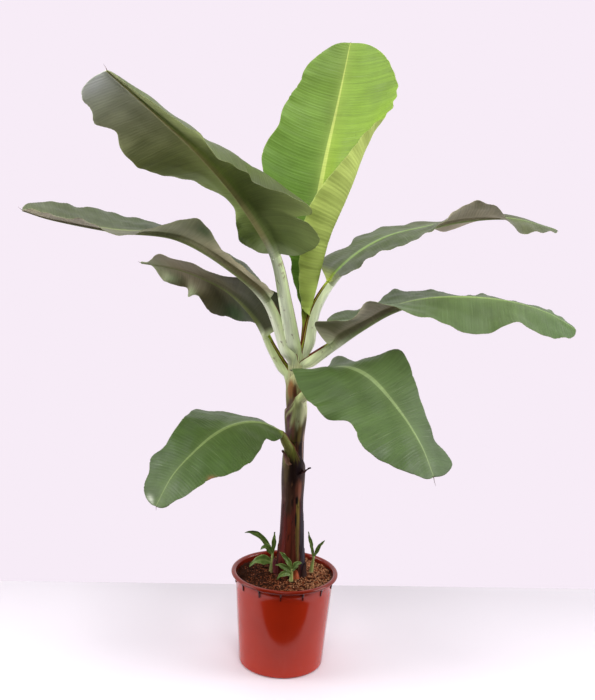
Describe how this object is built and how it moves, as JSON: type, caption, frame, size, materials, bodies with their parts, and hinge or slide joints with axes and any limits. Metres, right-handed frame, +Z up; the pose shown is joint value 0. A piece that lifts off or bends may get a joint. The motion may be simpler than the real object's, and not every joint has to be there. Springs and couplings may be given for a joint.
{
  "type": "potted banana plant",
  "caption": "Young banana plant with broad arching leaves on a sheathed stem and small suckers, growing in a tapered plastic nursery pot filled with compost.",
  "frame": {"origin": "centre of the pot's flat underside, on the surface it stands on", "axes": "+Z is up along the stem, -Y is the front, towards which the large upper left leaf leans, and +X is to the right seen from the front"},
  "size_m": [1.4261, 0.8416, 1.7293],
  "materials": {
    "pot": "satin",
    "soil": "matte",
    "stem": "satin",
    "petiole": "satin",
    "blade": "satin",
    "sucker": "satin",
    "sheath": "matte"
  },
  "bodies": {
    "root": {"pot": "pot", "soil": "soil", "pseudostem": "stem", "petiole_top_left": "petiole", "petiole_left_high": "petiole", "petiole_right_high": "petiole", "petiole_right_low": "petiole", "petiole_top": "petiole", "petiole_left_low": "petiole", "petiole_front_right": "petiole", "petiole_front_left": "petiole", "blade_top_left": "blade", "blade_left_high": "blade", "blade_right_high": "blade", "blade_right_low": "blade", "blade_top": "blade", "blade_left_low": "blade", "blade_front_right": "blade", "blade_front_left": "blade", "sucker_left": "sucker", "sucker_front": "sucker", "sucker_right": "sucker", "dry_sheath_right": "sheath", "dry_sheath_left": "sheath"}
  },
  "joints": []
}
